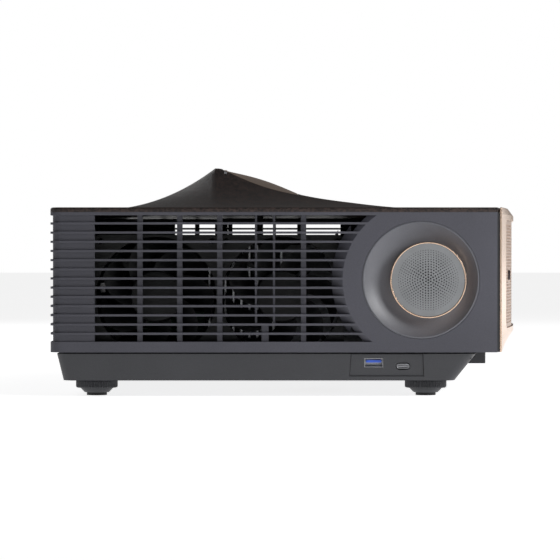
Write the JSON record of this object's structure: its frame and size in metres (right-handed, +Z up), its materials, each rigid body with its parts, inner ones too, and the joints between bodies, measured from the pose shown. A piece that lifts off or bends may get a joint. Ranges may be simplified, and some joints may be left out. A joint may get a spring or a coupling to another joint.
{
  "type": "home projector",
  "caption": "Home video projector in a low box with a bowed front, a speaker and a vent on each side, a ridged top cover and four screw feet.",
  "frame": {"origin": "on the floor, under the middle of the outer box", "axes": "+Z up, the lens looks along -Y, +X to the right as seen from in front of the lens"},
  "size_m": [0.4, 0.3536, 0.1721],
  "materials": {
    "shell_plastic": "fine moulded texture",
    "pan_plastic": "fine moulded texture",
    "cover_plastic": "grained",
    "gold_trim": "polished rose gold anodised",
    "gold_mesh": "perforated, satin rose gold anodised",
    "dish_plastic": "satin",
    "speaker_mesh": "perforated, painted grey",
    "black_plastic": "satin",
    "cast_metal": "die cast",
    "bare_aluminium": "extruded",
    "circuit_board": "solder mask",
    "foot_plastic": "knurled",
    "rubber_pad": "matte",
    "brass_insert": "turned",
    "steel": "plated",
    "blue_plastic": "moulded",
    "paper_cone": "pressed paper",
    "lens_glass": "coated",
    "window_plastic": "dark red"
  },
  "bodies": {
    "root": {"ac_inlet": "black_plastic", "bottom_pan": "pan_plastic", "case_screws": "steel", "fan_frame_left": "black_plastic", "fan_frame_right_front": "black_plastic", "fan_frame_right_rear": "black_plastic", "foot_inserts": "brass_insert", "front_bezel": "gold_trim", "front_chin": "black_plastic", "front_frame": "black_plastic", "front_grille": "gold_mesh", "front_ir_window": "window_plastic", "io_sockets": "black_plastic", "led_heatsink": "bare_aluminium", "left_side_panel": "shell_plastic", "left_speaker_basket": "steel", "left_speaker_dish": "dish_plastic", "left_speaker_grille": "speaker_mesh", "left_speaker_ring": "gold_trim", "lens_collar": "black_plastic", "lens_shift_base": "black_plastic", "lid_hinge_pin": "steel", "light_engine": "cast_metal", "main_board": "circuit_board", "power_supply_board": "circuit_board", "rear_panel": "shell_plastic", "right_port_plate": "black_plastic", "right_side_panel": "shell_plastic", "right_speaker_basket": "steel", "right_speaker_dish": "dish_plastic", "right_speaker_grille": "speaker_mesh", "right_speaker_ring": "gold_trim", "top_cover": "cover_plastic", "usb_a_socket": "steel", "usb_a_tongue": "blue_plastic", "usb_c_socket": "steel"},
    "lid": {"lens_control_lid": "gold_trim"},
    "shift_stage": {"lens_shift_slide": "black_plastic"},
    "lens": {"lens_barrel": "black_plastic", "front_lens": "lens_glass"},
    "zoom": {"zoom_ring": "black_plastic"},
    "focus": {"focus_ring": "gold_trim"},
    "dial_x": {"shift_dial_x": "black_plastic"},
    "dial_z": {"shift_dial_z": "black_plastic"},
    "rotor_right_rear": {"fan_rotor_right_rear": "black_plastic"},
    "rotor_right_front": {"fan_rotor_right_front": "black_plastic"},
    "rotor_left": {"fan_rotor_left": "black_plastic"},
    "foot_rear_right_lift": {"foot_pad_rear_right": "rubber_pad"},
    "foot_rear_right_turn": {"foot_screw_rear_right": "foot_plastic"},
    "foot_rear_left_lift": {"foot_pad_rear_left": "rubber_pad"},
    "foot_rear_left_turn": {"foot_screw_rear_left": "foot_plastic"},
    "foot_front_right_lift": {"foot_pad_front_right": "rubber_pad"},
    "foot_front_right_turn": {"foot_screw_front_right": "foot_plastic"},
    "foot_front_left_lift": {"foot_pad_front_left": "rubber_pad"},
    "foot_front_left_turn": {"foot_screw_front_left": "foot_plastic"},
    "power_button": {"power_button": "black_plastic"},
    "source_key": {"source_key": "black_plastic"},
    "menu_key": {"menu_key": "black_plastic"},
    "right_cone": {"right_speaker_cone": "paper_cone"},
    "left_cone": {"left_speaker_cone": "paper_cone"}
  },
  "joints": [
    {"name": "lid_hinge", "type": "hinge", "parent": "root", "child": "lid", "pos_m": [0, 0.05125, 0.16861], "axis": [-1, 0, 0], "range_deg": [0, 75]},
    {"name": "dial_x_turn", "type": "hinge", "parent": "root", "child": "dial_x", "pos_m": [-0.026, 0.02485, 0.14], "axis": [0, 0, 1], "range_deg": [-540, 540]},
    {"name": "dial_z_turn", "type": "hinge", "parent": "root", "child": "dial_z", "pos_m": [0.026, 0.02485, 0.14], "axis": [0, 0, 1], "range_deg": [-540, 540]},
    {"name": "lens_shift_x", "type": "slide", "parent": "root", "child": "shift_stage", "axis": [1, 0, 0], "range_m": [-0.005, 0.005]},
    {"name": "lens_shift_z", "type": "slide", "parent": "shift_stage", "child": "lens", "axis": [0, 0, 1], "range_m": [-0.005, 0.005]},
    {"name": "zoom_turn", "type": "hinge", "parent": "lens", "child": "zoom", "pos_m": [0, -0.14, 0.09], "axis": [0, 1, 0], "range_deg": [-35, 35]},
    {"name": "focus_turn", "type": "hinge", "parent": "lens", "child": "focus", "pos_m": [0, -0.157, 0.09], "axis": [0, 1, 0], "range_deg": [-60, 60]},
    {"name": "fan_right_rear_spin", "type": "hinge", "parent": "root", "child": "rotor_right_rear", "pos_m": [-0.165, 0.0999, 0.073], "axis": [-1, 0, 0], "continuous": true},
    {"name": "fan_right_front_spin", "type": "hinge", "parent": "root", "child": "rotor_right_front", "pos_m": [-0.165, 0.007, 0.073], "axis": [-1, 0, 0], "continuous": true},
    {"name": "fan_left_spin", "type": "hinge", "parent": "root", "child": "rotor_left", "pos_m": [0.165, 0.05345, 0.073], "axis": [1, 0, 0], "continuous": true},
    {"name": "foot_rear_right_rise", "type": "slide", "parent": "root", "child": "foot_rear_right_lift", "axis": [0, 0, -1], "range_m": [0, 0.01]},
    {"name": "foot_rear_right_screw", "type": "hinge", "parent": "foot_rear_right_lift", "child": "foot_rear_right_turn", "pos_m": [-0.165, 0.14475, 0.01], "axis": [0, 0, -1], "range_deg": [0, 2881]},
    {"name": "foot_rear_left_rise", "type": "slide", "parent": "root", "child": "foot_rear_left_lift", "axis": [0, 0, -1], "range_m": [0, 0.01]},
    {"name": "foot_rear_left_screw", "type": "hinge", "parent": "foot_rear_left_lift", "child": "foot_rear_left_turn", "pos_m": [0.165, 0.14475, 0.01], "axis": [0, 0, -1], "range_deg": [0, 2881]},
    {"name": "foot_front_right_rise", "type": "slide", "parent": "root", "child": "foot_front_right_lift", "axis": [0, 0, -1], "range_m": [0, 0.01]},
    {"name": "foot_front_right_screw", "type": "hinge", "parent": "foot_front_right_lift", "child": "foot_front_right_turn", "pos_m": [-0.165, -0.09995, 0.01], "axis": [0, 0, -1], "range_deg": [0, 2881]},
    {"name": "foot_front_left_rise", "type": "slide", "parent": "root", "child": "foot_front_left_lift", "axis": [0, 0, -1], "range_m": [0, 0.01]},
    {"name": "foot_front_left_screw", "type": "hinge", "parent": "foot_front_left_lift", "child": "foot_front_left_turn", "pos_m": [0.165, -0.09995, 0.01], "axis": [0, 0, -1], "range_deg": [0, 2881]},
    {"name": "power_button_press", "type": "slide", "parent": "root", "child": "power_button", "axis": [0, -1, 0], "range_m": [0, 0.0008], "stiffness_N_per_m": 500},
    {"name": "source_key_press", "type": "slide", "parent": "root", "child": "source_key", "axis": [0, -1, 0], "range_m": [0, 0.0008], "stiffness_N_per_m": 500},
    {"name": "menu_key_press", "type": "slide", "parent": "root", "child": "menu_key", "axis": [0, -1, 0], "range_m": [0, 0.0008], "stiffness_N_per_m": 500},
    {"name": "right_cone_stroke", "type": "slide", "parent": "root", "child": "right_cone", "axis": [1, 0, 0], "range_m": [-0.0015, 0.0015], "stiffness_N_per_m": 1500},
    {"name": "left_cone_stroke", "type": "slide", "parent": "root", "child": "left_cone", "axis": [-1, 0, 0], "range_m": [-0.0015, 0.0015], "stiffness_N_per_m": 1500}
  ],
  "couplings": [
    {"joint": "dial_x_turn", "follows": "lens_shift_x", "rad_per_m": 1884.9},
    {"joint": "dial_z_turn", "follows": "lens_shift_z", "rad_per_m": 1884.9},
    {"joint": "foot_rear_right_screw", "follows": "foot_rear_right_rise", "rad_per_m": 5026.5},
    {"joint": "foot_rear_left_screw", "follows": "foot_rear_left_rise", "rad_per_m": 5026.5},
    {"joint": "foot_front_right_screw", "follows": "foot_front_right_rise", "rad_per_m": 5026.5},
    {"joint": "foot_front_left_screw", "follows": "foot_front_left_rise", "rad_per_m": 5026.5}
  ]
}
